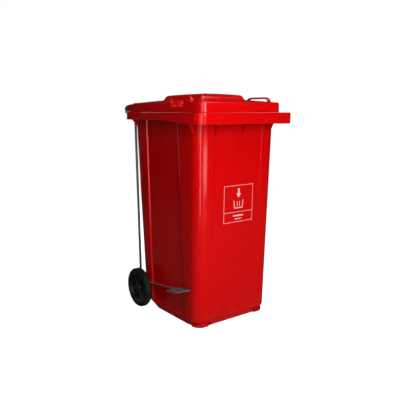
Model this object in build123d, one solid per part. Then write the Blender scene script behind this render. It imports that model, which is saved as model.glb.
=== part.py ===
from build123d import *
import os
from math import asin, atan2, cos, degrees, radians, sin, tan

os.makedirs("parts", exist_ok=True)

# ---------------------------------------------------------------------------
# Two-wheeled refuse bin with a pedal-lifted lid.  Millimetres.
# Front of the bin at -Y, +X to the right seen from the front, +Z up, floor z=0.
# Everything is drawn about the tub's own middle plane (x = 0) and shifted at
# the end by SHIFT, so that the whole assembly is centred over the origin.
# ---------------------------------------------------------------------------
SHIFT = (13.5, 13.5, 0.0)

WALL = 4.0                      # moulded wall
# tub
TUB_TOP = 989.0
TUB_RF, TUB_RB = 52.0, 44.0     # corner radii, front and back
FIELD_FOOT, FIELD_HEAD = 33.0, 1010.0    # the sunk fields run between these heights
FIELD_RAMP = 14.0               # height over which a side field reaches its depth
SIDE_D, FRONT_D = 8.5, 2.5      # depth of the side fields; of the front field at its head
SIDE_RUN, STRIPE_RUN, FRONT_RUN = 13.0, 6.0, 14.0    # widths of the slopes that bound the fields
BASE_TOP, BASE_IN = 20.0, 7.0   # the walls turn in by BASE_IN between FIELD_FOOT and BASE_TOP
SKIRT_FOOT, SKIRT_RF = 4.0, 80.0         # skirt under the walls: lower edge, front corner radius
FLOOR_Z = 25.0                  # top of the floor
STEP_Y, STEP_Z = 134.5, 150.0   # axle step across the back of the base
HEEL_Y, HEEL_Z = 76.0, 28.0     # the heel slopes from HEEL_Y at the skirt's edge up to HEEL_Z
# rim
RIM_Z = 992.0                   # top of the tub rim
RIM_X, RIM_F, RIM_B = 280.0, -370.0, 266.0
RIM_RF, RIM_RB = 48.0, 38.0
SKIRT_Z = 935.0                 # lowest edge of the hanging skirt
GUSSET = 5.0
FRONT_GUSSETS = (-140.0, 18.0, 162.0)
# feet under the front corners
FOOT_X, FOOT_Y, FOOT_R, FOOT_TOP = (139.0, 211.0), (-264.0, -203.0), 44.0, 14.0
# running gear
AXLE_Y, AXLE_Z, AXLE_R = 167.0, 100.0, 10.0
W_IN, W_OUT = 250.0, 283.0      # wheel faces, from the middle plane
# lid and hinge
HINGE_Y, HINGE_Z = 305.0, 1009.0
EAR_X = (180.0, 198.0)          # outer hinge ears
INNER_EAR_X = (57.0, 75.0)
BAR_Y, BAR_Z, BAR_R = 330.0, 968.0, 13.0             # handle bar between the ears
LUG_R, LUG_A = 28.0, 30.0       # lid lug: radius from the hinge, angle below level
LID_X, LID_F, LID_B = 240.0, -328.0, 260.0
LID_Z = 992.4                   # lower edge of the lid
GRIP_X = (222.0, 239.0)
# pedal kit
LEVER = degrees(asin(14.0 / 82.0))   # the lever leans this much at rest
ARM_X, ARM_R = -227.5, 4.0      # plane and radius of the lever arm
ARM_Z = AXLE_Z + 17.0
EYE_Y = AXLE_Y + 82.0
ROD_X, ROD_R, ROD_BORE, BEND = -207.5, 6.0, 4.0, 13.0    # upright of the lift rod and its bends
CORNER = 1 - 2 ** -0.5          # distance of a quarter arc's middle from its corner, per radius


def hw(z):                      # tub half width
    return 220.5 + 0.012 * z


def yf(z):                      # tub front
    return -267.0 - 0.032 * z


def yb(z):                      # tub back
    return 196.0 + 0.062 * z


def save(shape, name):
    s = Pos(*SHIFT) * shape
    solids = s.solids()
    s = solids[0] if len(solids) == 1 else Compound(children=list(solids))
    s.label = name
    export_step(s, f"parts/{name}.step")
    bb = s.bounding_box()
    print(f"{name:22s} solids {len(solids)}  x {bb.min.X:7.1f} {bb.max.X:7.1f}  "
          f"y {bb.min.Y:7.1f} {bb.max.Y:7.1f}  z {bb.min.Z:7.1f} {bb.max.Z:7.1f}  "
          f"vol {sum(q.volume for q in solids) / 1000:9.2f} cm3  ok {all(q.is_valid for q in solids)}")
    return s


def rrect(x, y0, y1, rf, rb, z, x0=None):
    """Flat rounded rectangle at height z; rf, rb are the front and back corner radii."""
    a = -x if x0 is None else x0
    b = x
    k = CORNER
    e = [Line((a + rf, y0), (b - rf, y0)),
         ThreePointArc((b - rf, y0), (b - rf * k, y0 + rf * k), (b, y0 + rf)),
         Line((b, y0 + rf), (b, y1 - rb)),
         ThreePointArc((b, y1 - rb), (b - rb * k, y1 - rb * k), (b - rb, y1)),
         Line((b - rb, y1), (a + rb, y1)),
         ThreePointArc((a + rb, y1), (a + rb * k, y1 - rb * k), (a, y1 - rb)),
         Line((a, y1 - rb), (a, y0 + rf)),
         ThreePointArc((a, y0 + rf), (a + rf * k, y0 + rf * k), (a + rf, y0))]
    return Pos(0, 0, z) * make_face(Wire(e))


def stack(sections):
    """Ruled loft through sections (x, y0, y1, rf, rb, z)."""
    return loft([rrect(*s) for s in sections], ruled=True)


def box(x0, x1, y0, y1, z0, z1):
    return Pos((x0 + x1) / 2, (y0 + y1) / 2, (z0 + z1) / 2) * Box(x1 - x0, y1 - y0, z1 - z0)


def quad_x(x0, x1, pts):
    """Plate between x0 and x1 with outline pts given as (y, z)."""
    f = make_face(Polyline(*[(0, y, z) for y, z in pts], close=True))
    return Pos(x0, 0, 0) * extrude(f, amount=x1 - x0, dir=(1, 0, 0))


def quad_y(y0, y1, pts):
    """Plate between y0 and y1 with outline pts given as (x, z)."""
    f = make_face(Polyline(*[(x, 0, z) for x, z in pts], close=True))
    return Pos(0, y0, 0) * extrude(f, amount=y1 - y0, dir=(0, 1, 0))


def rod_x(x0, x1, y, z, r):
    return Pos((x0 + x1) / 2, y, z) * Rot(0, 90, 0) * Cylinder(r, x1 - x0)


def both(s):
    return s + mirror(s, about=Plane.YZ)


# ===========================================================================
# 1. bin_body: tub, rim, gussets, handles, hinge ears, axle brackets, feet
# ===========================================================================
def rise(z):
    """Height as a fraction of the sunk fields."""
    return (z - FIELD_FOOT) / (FIELD_HEAD - FIELD_FOOT)


def front_depth(z):
    """The front field deepens steadily from nothing at its foot."""
    return FRONT_D * max(rise(z), 0.0)


def mitre(depth, run):
    """How far a slope of this depth and run moves along the surface per millimetre of offset."""
    return tan(atan2(depth, run) / 2)


def outline(z, off, inset=0.0):
    """Outline of the tub at z, pulled in by off: corner posts with sunk fields between them.

    inset is how far the walls are turned in at this height.
    """
    d = off + inset
    x = hw(z) - d
    y0, y1 = yf(z) + d, yb(z) - d
    rf, rb = TUB_RF - d, TUB_RB - d
    shift = off * mitre(SIDE_D, FIELD_RAMP)
    side = SIDE_D * min(max((z + shift - FIELD_FOOT) / FIELD_RAMP, 0.0), 1.0)
    front = front_depth(z)
    a1 = -165.0 + 42.0 * rise(z) - off * mitre(SIDE_D, SIDE_RUN)
    b1 = 110.0 + 20.0 * rise(z) + off * mitre(SIDE_D, STRIPE_RUN)
    a0, b0 = a1 - SIDE_RUN, b1 + STRIPE_RUN
    w1 = 130.0 + 6.0 * rise(z)
    w0 = w1 + FRONT_RUN
    k = CORNER
    right = [Line((0, y0 + front), (w1, y0 + front)), Line((w1, y0 + front), (w0, y0)),
             Line((w0, y0), (x - rf, y0)),
             ThreePointArc((x - rf, y0), (x - rf * k, y0 + rf * k), (x, y0 + rf)),
             Line((x, y0 + rf), (x, a0)), Line((x, a0), (x - side, a1)),
             Line((x - side, a1), (x - side, b1)), Line((x - side, b1), (x, b0)),
             Line((x, b0), (x, y1 - rb)),
             ThreePointArc((x, y1 - rb), (x - rb * k, y1 - rb * k), (x - rb, y1)),
             Line((x - rb, y1), (0, y1))]
    left = mirror(Wire(right), about=Plane.YZ).edges()
    return Pos(0, 0, z) * make_face(Wire(right + list(left)))


def tub(off, sections):
    """Tub solid through sections (z, inset), pulled in by off."""
    return loft([outline(z, off, inset) for z, inset in sections], ruled=True)


def step(off):
    """The space behind the base, grown by off: sloped heel, upright wall, sloped roof."""
    slope = (STEP_Y - HEEL_Y) / (HEEL_Z - SKIRT_FOOT)
    back = off * (1 + slope ** 2) ** 0.5
    return quad_x(-300, 300, [(HEEL_Y - back, -10), (HEEL_Y - back, SKIRT_FOOT),
                              (STEP_Y - off, HEEL_Z + (back - off) / slope),
                              (STEP_Y - off, STEP_Z - 18 + off * 0.4),
                              (STEP_Y + 18 - off * 0.4, STEP_Z + off),
                              (320, STEP_Z + off), (320, -10)])


ramp_top = FIELD_FOOT + FIELD_RAMP
ramp_in = WALL * mitre(SIDE_D, FIELD_RAMP)
outer = tub(0.0, [(BASE_TOP, BASE_IN), (FIELD_FOOT, 0.0), (ramp_top, 0.0), (TUB_TOP, 0.0)])
skirt = [(hw(0) - BASE_IN, yf(0) + BASE_IN, 150.0, SKIRT_RF, 6.0, z) for z in (SKIRT_FOOT, BASE_TOP + 2)]
outer += stack(skirt)
outer -= step(0.0)
inner = tub(WALL, [(FLOOR_Z, 6.0), (FIELD_FOOT - ramp_in, 1.0), (ramp_top - ramp_in, 0.0),
                   (TUB_TOP + 20, 0.0)]) - step(WALL)
body = outer - inner
# hollow inside the skirt, its back following the heel
SKIRT_WALL = 6.0
in_x, in_y, in_r = hw(0) - BASE_IN - SKIRT_WALL, yf(0) + BASE_IN + SKIRT_WALL, SKIRT_RF - SKIRT_WALL
body -= stack([(in_x, in_y, HEEL_Y - 12.0, in_r, 6.0, SKIRT_FOOT - 1),
               (in_x, in_y, HEEL_Y + 27.0, in_r, 6.0, BASE_TOP)])

# rim: flange plus hanging skirt, deeper at the front
flange = extrude(rrect(RIM_X, RIM_F, RIM_B, RIM_RF, RIM_RB, RIM_Z - WALL), amount=WALL)
hung = extrude(rrect(RIM_X, RIM_F, RIM_B, RIM_RF, RIM_RB, SKIRT_Z), amount=RIM_Z - SKIRT_Z)
hung -= extrude(rrect(RIM_X - WALL, RIM_F + WALL, RIM_B - WALL, RIM_RF - WALL, RIM_RB - WALL, SKIRT_Z - 5),
                 amount=RIM_Z)
hung -= quad_x(-320, 320, [(-400, 900), (-400, 940), (-298, 941), (-250, 943.5), (-90, 956),
                           (-60, 957), (300, 957), (300, 900)])
flange -= extrude(rrect(hw(TUB_TOP) - WALL, yf(TUB_TOP) + WALL, yb(TUB_TOP) - WALL, 48, 40, 900), amount=200)
body += flange + hung
# the sunk fields run up through the flange, so a plate closes it onto the wall
ring_in = tub(WALL, [(960, 0.0), (RIM_Z + 10, 0.0)])
ring_out = extrude(rrect(hw(TUB_TOP), yf(TUB_TOP), yb(TUB_TOP), TUB_RF, TUB_RB, RIM_Z - WALL), amount=WALL)
body += ring_out - ring_in

# gussets under the rim: front, sides, back
for gx in FRONT_GUSSETS:
    body += quad_x(gx - GUSSET / 2, gx + GUSSET / 2,
                   [(yf(890) + 2.5, 888), (yf(890) + 1.0, 893), (RIM_F + 25, 955),
                    (RIM_F + 10, 990), (yf(990) + 6, 990)])
for sx in (1, -1):
    for gy, foot_z in ((-256.0, 894.0), (214.0, 916.0)):
        xi = hw(foot_z) - 5
        pts = [(sx * xi, foot_z), (sx * (RIM_X - 2), 975), (sx * (RIM_X - 2), 990), (sx * xi, 990)]
        body += quad_y(gy - GUSSET / 2, gy + GUSSET / 2, pts)
for gx in (-120.0, 120.0):
    body += quad_x(gx - GUSSET / 2, gx + GUSSET / 2,
                   [(yb(900) - 2, 935), (RIM_B - 2, 965), (RIM_B - 2, 990), (yb(990) - 6, 990)])

# back handles, hinge ears
handle = rod_x(-EAR_X[1], -INNER_EAR_X[0], BAR_Y, BAR_Z, BAR_R)
handle += quad_x(-EAR_X[1], -EAR_X[0],
                 [(RIM_B - 3, 930), (BAR_Y + 4, BAR_Z - 12.5), (BAR_Y + 12.5, BAR_Z + 3),
                  (HINGE_Y + 15, HINGE_Z - 8), (HINGE_Y, HINGE_Z), (HINGE_Y - 12, HINGE_Z + 11),
                  (RIM_B - 3, 991)])
handle += rod_x(-EAR_X[1], -EAR_X[0], HINGE_Y, HINGE_Z, 17)
handle += quad_x(-INNER_EAR_X[1], -INNER_EAR_X[0],
                 [(RIM_B - 3, 938), (BAR_Y + 2, BAR_Z - 12.9), (BAR_Y, BAR_Z + BAR_R), (RIM_B - 3, 988)])
body += both(handle)
# a foot for each ear on the back wall under the skirt
for x0, x1 in (EAR_X, INNER_EAR_X):
    body += both(quad_x(x0, x1, [(yb(905) - 2, 905), (RIM_B - 1, 933), (RIM_B - 1, 988), (yb(988) - 3, 988)]))
body -= both(rod_x(-210, -170, HINGE_Y, HINGE_Z, 7.08))

# axle brackets under the step and the two outer bosses
for x0, x1 in ((-216, -203), (-80, -70)):
    br = quad_x(x0, x1, [(STEP_Y - 2, 60), (AXLE_Y - 4, 76), (AXLE_Y + 18, 84), (AXLE_Y + 27, 106),
                         (yb(150) - 6, STEP_Z + 2), (STEP_Y + 17, STEP_Z + 2), (STEP_Y - 2, STEP_Z - 17)])
    br += rod_x(x0, x1, AXLE_Y, AXLE_Z, 24)
    body += both(br)
body -= rod_x(-240, 240, AXLE_Y, AXLE_Z, AXLE_R + 0.05)

# feet under the front corners, each with the tub's round on its outer corner
slab = stack([(FOOT_X[1] - 2, FOOT_Y[0] + 2, 0.0, FOOT_R - 2, 10.0, 0.0),
              (FOOT_X[1], FOOT_Y[0], 0.0, FOOT_R, 10.0, 2.0),
              (FOOT_X[1], FOOT_Y[0], 0.0, FOOT_R, 10.0, FOOT_TOP)])
pad = box(FOOT_X[0], FOOT_X[1] + 5, FOOT_Y[0] - 5, FOOT_Y[1], -1, FOOT_TOP + 1)
pad = fillet(pad.edges().filter_by(Axis.Z).group_by(Axis.X)[0], 14.0)
body += both(slab & pad)
body -= inner
print("body valid", body.is_valid, len(body.solids()))
save(body, "bin_body")

# ===========================================================================
# 2. lid: skirted cover, raised crown, side grips, hinge arms and lift lug
# ===========================================================================
def lid_solid(t):
    """Outer skin of the lid pulled in by t (t=0 outside, t=WALL inside)."""
    q = 0 if t == 0 else 10
    s = stack([(LID_X - t, LID_F + t, LID_B - t, 40 - t, 24 - t, LID_Z - q),
               (LID_X - 0.6 - t, LID_F + 0.6 + t, LID_B - 0.6 - t, 40 - t, 24 - t, 1029 - t),
               (LID_X - 3 - t, LID_F + 3 + t, LID_B - 3 - t, 38 - t, 22 - t, 1035 - t),
               (LID_X - 9 - t, LID_F + 9 + t, LID_B - 9 - t, 34 - t, 18 - t, 1038.5 - t),
               (152 - t, -203 + t, 140 - t, 40 - t, 30 - t, 1049 - t)])
    s += stack([(152 - t, -203 + t, 140 - t, 40 - t, 30 - t, 1040 - t),
                (152 - t, -203 + t, 140 - t, 40 - t, 30 - t, 1049 - t),
                (137 - t, -186 + t, 122 - t, 34 - t, 26 - t, 1051.5 - t),
                (127 - t, -175 + t, 111 - t, 30 - t, 22 - t, 1066 - t),
                (122 - t, -170 + t, 106 - t, 26 - t, 19 - t, 1071 - t),
                (112 - t, -160 + t, 96 - t, 22 - t, 16 - t, 1074.5 - t),
                (50 - t, -90 + t, 26 - t, 12 - t, 10 - t, 1080 - t)])
    return s


SC_Y0, SC_Y1, SC_Z, SC_X = -246.0, -96.0, 1019.0, 166.0


def scoop(t):
    """Finger hollow under each side grip, grown by t."""
    s = loft([rrect(300, SC_Y0 + 6 - t, SC_Y1 - 4 + t, 12, 12, SC_Z - t, x0=SC_X + 10 - t),
              rrect(300, SC_Y0 - t, SC_Y1 + t, 14, 14, 1062 + t, x0=SC_X - t)], ruled=True)
    return both(s)


lid_o = lid_solid(0.0) - scoop(0.0)
lid_i = lid_solid(WALL) - scoop(WALL)
lid = lid_o - lid_i
# the grips: a bar arching over each hollow
arch = quad_x(GRIP_X[0], GRIP_X[1],
              [(-259, 1028), (-256, 1047), (-244, 1060), (-218, 1065), (-124, 1065), (-98, 1060), (-86, 1047),
               (-83, 1028), (-103, 1028), (-104, 1044), (-110, 1052), (-126, 1056), (-216, 1056),
               (-232, 1052), (-238, 1044), (-239, 1028)])
lid += both(arch)
# hinge arms: outer ones carry the lift lug (left) and the pin
lug_y = HINGE_Y - LUG_R * cos(radians(LUG_A))
lug_z = HINGE_Z - LUG_R * sin(radians(LUG_A))
AX0, AX1 = -LID_X, -LID_X + 14
arm_o = quad_x(AX0, AX1, [(LID_B - 26, 994), (LID_B + 8, 994), (lug_y, lug_z - 9), (HINGE_Y, HINGE_Z - 16),
                            (HINGE_Y + 6, HINGE_Z + 16), (LID_B + 20, 1031), (LID_B - 26, 1034)])
arm_o += rod_x(AX0, AX1, HINGE_Y, HINGE_Z, 17.5) + rod_x(AX0, AX1, lug_y, lug_z, 13)
arm_i = quad_x(-178.5, -164.5, [(LID_B - 6, 994), (HINGE_Y - 6, HINGE_Z - 15), (HINGE_Y + 6, HINGE_Z + 14.5),
                                (LID_B - 6, 1034)])
arm_i += rod_x(-178.5, -164.5, HINGE_Y, HINGE_Z, 16)
arms_l = arm_o + arm_i
arm_r = mirror(quad_x(AX0, AX1, [(LID_B - 26, 994), (LID_B + 8, 994), (HINGE_Y, HINGE_Z - 16),
                                   (HINGE_Y + 6, HINGE_Z + 16), (LID_B + 20, 1031), (LID_B - 26, 1034)])
               + rod_x(AX0, AX1, HINGE_Y, HINGE_Z, 17.5) + arm_i, about=Plane.YZ)
lid += arms_l + arm_r
lid -= both(rod_x(-260, -150, HINGE_Y, HINGE_Z, 7.0))
lid -= rod_x(-260, -215, lug_y, lug_z, 9.0)
print("lid valid", lid.is_valid, len(lid.solids()))
save(lid, "lid")

# hinge pins: black headed pins pressed into the lid arms, turning in the body ears
pin = rod_x(-LID_X - 6, -LID_X, HINGE_Y, HINGE_Z, 14.0)
pin = fillet(pin.edges().sort_by(Axis.X)[0], 3.5)
pin += rod_x(-LID_X - 1, -158, HINGE_Y, HINGE_Z, 7.0)
pin = chamfer(pin.edges().sort_by(Axis.X)[-1], 1.6)
save(pin, "hinge_pin_left")
save(mirror(pin, about=Plane.YZ), "hinge_pin_right")

# ===========================================================================
# 3. running gear
# ===========================================================================
axle = rod_x(-281, 281, AXLE_Y, AXLE_Z, AXLE_R)
axle = chamfer(axle.edges().filter_by(GeomType.CIRCLE), 1.0)
save(axle, "wheel_axle")


def ring_x(pts):
    """Revolve an (x, radius) outline round the axle."""
    f = make_face(Polyline(*[(x, AXLE_Y, AXLE_Z + r) for x, r in pts], close=True))
    return revolve(f, Axis((0, AXLE_Y, AXLE_Z), (1, 0, 0)), 360)


tyre = ring_x([(-W_OUT, 78), (-W_OUT, 92), (-W_OUT + 2, 96.5), (-W_OUT + 7, 99.4), (-W_OUT + 13, 100),
               (-W_IN - 13, 100), (-W_IN - 7, 99.4), (-W_IN - 2, 96.5), (-W_IN, 92), (-W_IN, 78)])
save(tyre, "tyre_left")
save(mirror(tyre, about=Plane.YZ), "tyre_right")

hub = ring_x([(-W_OUT + 3, 68), (-W_OUT + 1.0, 70), (-W_OUT + 0.5, 78),
              (-W_IN - 0.5, 78), (-W_IN - 1, 70), (-W_IN - 4, 68)])
hub += ring_x([(-265.5, 20), (-265.5, 70), (-260.5, 70), (-260.5, 20)])
hub += ring_x([(-279.0, 9.0), (-279.0, 19), (-277, 22), (-241, 22), (-239.3, 20), (-239.3, 9.0)])
for k in range(6):
    rib = box(-276.5, -W_IN - 4, AXLE_Y - 2.5, AXLE_Y + 2.5, AXLE_Z + 20, AXLE_Z + 69.5)
    hub += Pos(0, AXLE_Y, AXLE_Z) * Rot(60 * k + 30, 0, 0) * Pos(0, -AXLE_Y, -AXLE_Z) * rib
hub -= rod_x(-300, -200, AXLE_Y, AXLE_Z, 10.08)
save(hub, "wheel_hub_left")
save(mirror(hub, about=Plane.YZ), "wheel_hub_right")

cap = ring_x([(-284.0, 0), (-284.0, 8), (-283.2, 13), (-281.0, 16.5), (-279.4, 17.2),
              (-279.4, AXLE_R), (-281.0, AXLE_R), (-281.0, 0)])
save(cap, "axle_cap_left")
save(mirror(cap, about=Plane.YZ), "axle_cap_right")

washer = ring_x([(-217.8, 10.05), (-217.8, 18), (-216.2, 18), (-216.2, 10.05)])
save(washer, "axle_washer_left")
spacer = ring_x([(216.3, 10.05), (216.3, 16), (238.9, 16), (238.9, 10.05)])
save(spacer, "axle_spacer_right")

# ===========================================================================
# 4. pedal lever: arm, plate, pivot block, two bands.  Drawn level, leant back.
# ===========================================================================
lean = Pos(0, AXLE_Y, AXLE_Z) * Rot(-LEVER, 0, 0) * Pos(0, -AXLE_Y, -AXLE_Z)

path = FilletPolyline((ARM_X, EYE_Y - 12, ARM_Z), (ARM_X, 70, ARM_Z), (ARM_X - 13, -120, ARM_Z),
                      (ARM_X - 14, -240, ARM_Z), radius=600)
arm = sweep(Plane(origin=path @ 0, z_dir=path % 0) * Circle(ARM_R), path)
eye = rod_x(ARM_X - ARM_R, ARM_X + ARM_R, EYE_Y, ARM_Z, 13.0)
arm += eye
arm -= rod_x(ARM_X - 20, ARM_X + 20, EYE_Y, ARM_Z, 6.08)
print("arm solids", len(arm.solids()))
save(lean * arm, "pedal_arm")

# plate: rounded pressing, sits on the arm, dimples raised
P_X0, P_X1, P_Y0, P_Y1 = -311.0, -235.0, -252.0, -145.0
PZ = ARM_Z + ARM_R
k = CORNER
ro, ri = 26.0, 9.0
o = [Line((P_X0 + ro, P_Y0), (P_X1 - ri, P_Y0)),
     ThreePointArc((P_X1 - ri, P_Y0), (P_X1 - ri * k, P_Y0 + ri * k), (P_X1, P_Y0 + ri)),
     Line((P_X1, P_Y0 + ri), (P_X1, P_Y1 - ri)),
     ThreePointArc((P_X1, P_Y1 - ri), (P_X1 - ri * k, P_Y1 - ri * k), (P_X1 - ri, P_Y1)),
     Line((P_X1 - ri, P_Y1), (P_X0 + ro, P_Y1)),
     ThreePointArc((P_X0 + ro, P_Y1), (P_X0 + ro * k, P_Y1 - ro * k), (P_X0, P_Y1 - ro)),
     Line((P_X0, P_Y1 - ro), (P_X0, P_Y0 + ro)),
     ThreePointArc((P_X0, P_Y0 + ro), (P_X0 + ro * k, P_Y0 + ro * k), (P_X0 + ro, P_Y0))]
plate = Pos(0, 0, PZ) * extrude(make_face(Wire(o)), amount=3.0)
for cx, cy in ([(x, y) for y in (-230, -203, -176) for x in (-292, -273, -254)] + [(-273, -156)]):
    plate += Pos(cx, cy, PZ + 3.0) * (Cone(5.0, 3.2, 1.8, align=(Align.CENTER, Align.CENTER, Align.MIN)))
save(lean * plate, "pedal_plate")

# pivot block: turns on the axle, arm lies in the groove on top
B_X0, B_X1 = -238.2, -218.2
blk = box(B_X0, B_X1, AXLE_Y - 27, AXLE_Y + 27, AXLE_Z - 17, ARM_Z)
blk = fillet(blk.edges().filter_by(Axis.X).group_by(Axis.Z)[0], 12.0)
blk -= rod_x(-260, -200, AXLE_Y, AXLE_Z, 10.08)
groove = sweep(Plane(origin=path @ 0, z_dir=path % 0) * Circle(ARM_R + 0.03), path)
blk -= groove
blk -= Pos(ARM_X, AXLE_Y, ARM_Z + 3) * Box(8.1, 60, 6)
for by in (-17.0, 17.0):
    outer_b = box(B_X0 - 1, B_X1 + 1, AXLE_Y + by - 4, AXLE_Y + by + 4, AXLE_Z - 19, ARM_Z + 6)
    inner_b = box(B_X0 + 1.2, B_X1 - 1.2, AXLE_Y + by - 5, AXLE_Y + by + 5, AXLE_Z - 11.0, ARM_Z + 8)
    blk -= (outer_b - inner_b) & box(-260, -200, AXLE_Y + by - 4, AXLE_Y + by + 4, 0, 300)
save(lean * blk, "pivot_block")

for by, nm in ((-17.0, "front"), (17.0, "rear")):
    prof_o = box(B_X0, B_X1, AXLE_Y + by - 4, AXLE_Y + by + 4, AXLE_Z - 12.2, ARM_Z + 5.2)
    prof_i = box(B_X0 + 1.2, B_X1 - 1.2, AXLE_Y + by - 6, AXLE_Y + by + 6, AXLE_Z - 11.0, ARM_Z + 0.0)
    band = prof_o - prof_i
    band -= groove
    band -= Pos(ARM_X, AXLE_Y, ARM_Z - 3) * Box(8.1, 80, 6)
    save(lean * band, f"arm_band_{nm}")

# ===========================================================================
# 5. lift rod: hollow rod hooked through the arm eye below and the lid lug above
# ===========================================================================
a = radians(-LEVER)
ey = AXLE_Y + (EYE_Y - AXLE_Y) * cos(a) - (ARM_Z - AXLE_Z) * sin(a)
ez = AXLE_Z + (EYE_Y - AXLE_Y) * sin(a) + (ARM_Z - AXLE_Z) * cos(a)
ty, tz = lug_y - 2.45, lug_z + 0.1   # the bend rides a little fore and aft in the lug as the lid turns
print("eye", round(ey, 3), round(ez, 3), "lug", round(lug_y, 3), round(lug_z, 3))
lo, hi = Vector(0, ey, ez), Vector(0, ty, tz)
up = (hi - lo).normalized()
b0, b1 = lo + up * BEND, hi - up * BEND
kx = BEND * CORNER
p = [Line((-239.0, ey, ez), (ROD_X - BEND, ey, ez)),
     ThreePointArc((ROD_X - BEND, ey, ez),
                   Vector(ROD_X - kx, 0, 0) + lo + up * kx, Vector(ROD_X, 0, 0) + b0),
     Line(Vector(ROD_X, 0, 0) + b0, Vector(ROD_X, 0, 0) + b1),
     ThreePointArc(Vector(ROD_X, 0, 0) + b1, Vector(ROD_X - kx, 0, 0) + hi - up * kx,
                   (ROD_X - BEND, ty, tz)),
     Line((ROD_X - BEND, ty, tz), (-262.0, ty, tz))]
wire = Wire(p)
start = Plane(origin=(-239.0, ey, ez), z_dir=(1, 0, 0))
rod = sweep(start * Circle(ROD_R), wire) - sweep(start * Circle(ROD_BORE), wire)
print("rod solids", len(rod.solids()), rod.is_valid)
SPX = -236.3                     # split pin station
rod -= Pos(SPX, ey, ez) * Cylinder(1.65, 30)
save(rod, "lift_rod")

wsh = Pos(0, ey - AXLE_Y, ez - AXLE_Z) * ring_x([(-233.6, 6.05), (-233.6, 12), (-232.1, 12), (-232.1, 6.05)])
save(wsh, "rod_washer")
# split pin: one wire doubled back on itself, legs spread under the rod
spl = Pos(SPX, ey, ez - 0.5) * Cylinder(1.6, 16.0)
spl += Pos(SPX, ey, ez + 11.0) * Rot(0, 90, 0) * Torus(4.0, 1.4)
for sy in (1, -1):
    w = Wire([Line((SPX, ey + sy * 0.2, ez - 7.5), (SPX, ey + sy * 7.0, ez - 17.5))])
    spl += sweep(Plane(origin=(SPX, ey + sy * 0.2, ez - 7.5), z_dir=(0, sy * 6.8, -10)) * Circle(1.3), w)
print("split pin solids", len(spl.solids()))
save(spl, "split_pin")

# ===========================================================================
# 6. front pictogram: thin printed film on the sunk front field
# ===========================================================================
T = 0.35                        # thickness of the film


def on_front(x0, x1, z0, z1):
    """Upright tile between two pairs of edges."""
    return quad_tile([(x0, z0), (x1, z0), (x1, z1), (x0, z1)])


def quad_tile(pts):
    """Tile with corners pts, given as (x, z), on the sloping front field."""
    layers = [Polyline(*[(x, yf(z) + front_depth(z) + d, z) for x, z in pts], close=True) for d in (0.0, -T)]
    return loft([make_face(line) for line in layers], ruled=True)


SX, SW = 10.0, 88.0              # middle and half width of the frame
SZ0, SZ1, SZD = 487.0, 661.0, 534.0      # its bottom, top and dividing line
L = 1.8                         # width of the frame line
tiles = [on_front(SX - SW, SX + SW, SZ0, SZ0 + L), on_front(SX - SW, SX + SW, SZ1 - L, SZ1),
         on_front(SX - SW, SX - SW + L, SZ0 + L, SZ1 - L), on_front(SX + SW - L, SX + SW, SZ0 + L, SZ1 - L),
         on_front(SX - SW + L, SX + SW - L, SZD, SZD + L)]
# open container
tiles += [quad_tile([(SX - 30, 590), (SX - 26, 590), (SX - 21, 552), (SX - 25, 552)]),
          quad_tile([(SX + 26, 590), (SX + 30, 590), (SX + 25, 552), (SX + 21, 552)]),
          on_front(SX - 20.9, SX + 20.9, 552, 556),
          quad_tile([(SX - 9, 586), (SX - 6, 586), (SX - 5, 562), (SX - 8, 562)]),
          quad_tile([(SX + 6, 586), (SX + 9, 586), (SX + 8, 562), (SX + 5, 562)])]
# arrow pointing in
tiles += [quad_tile([(SX - 5, 646), (SX + 5, 646), (SX + 5, 622), (SX + 14, 622), (SX, 602),
                     (SX - 14, 622), (SX - 5, 622)])]
# plain bars below
tiles += [on_front(SX - 30, SX + 30, 514, 521), on_front(SX - 20, SX + 20, 500, 504)]
pic = Compound(children=[t.solids()[0] for t in tiles])
pics = Pos(*SHIFT) * pic
pics.label = "front_pictogram"
export_step(pics, "parts/front_pictogram.step")
print("pictogram solids", len(pics.solids()))
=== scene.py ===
# %% [markdown]
# # A two-wheeled refuse bin with a pedal-lifted lid
#
# The bin is a thin red moulding with a hung rim, a crowned lid on two hinge pins, two black
# wheels, and a pedal kit: a lever on the axle and a hooked rod that pushes the lid open.
# The fixed frame holds every part at its real size. This lesson builds the moulded surfaces
# around that frame as numpy grids, and gives each part the finish of its real material.

# %% Load the frame
import math
import bmesh
import bpy
import numpy as np
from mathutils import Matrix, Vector


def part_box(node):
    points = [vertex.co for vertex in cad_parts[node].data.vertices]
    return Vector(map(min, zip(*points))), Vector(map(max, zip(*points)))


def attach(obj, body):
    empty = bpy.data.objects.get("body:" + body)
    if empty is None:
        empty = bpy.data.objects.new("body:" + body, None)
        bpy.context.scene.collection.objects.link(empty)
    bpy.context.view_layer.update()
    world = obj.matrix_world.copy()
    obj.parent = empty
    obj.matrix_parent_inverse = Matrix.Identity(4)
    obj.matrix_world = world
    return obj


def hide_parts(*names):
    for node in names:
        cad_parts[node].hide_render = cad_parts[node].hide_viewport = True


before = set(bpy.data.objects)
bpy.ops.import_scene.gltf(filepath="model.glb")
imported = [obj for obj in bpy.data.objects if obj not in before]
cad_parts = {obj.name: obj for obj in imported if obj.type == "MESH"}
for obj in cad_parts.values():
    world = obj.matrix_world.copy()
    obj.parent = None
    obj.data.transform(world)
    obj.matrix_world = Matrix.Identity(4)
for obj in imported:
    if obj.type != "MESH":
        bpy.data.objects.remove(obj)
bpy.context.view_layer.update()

# %% [markdown]
# ## Drawing sizes
#
# A mould maker draws from one datum: here the tub's middle plane, the wheel axle and the floor.
# The datum is read from the frame, so the drawing lands on the frame without any fitting.
# Sizes below are millimetres about that datum, and become metres when a piece is made.

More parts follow.
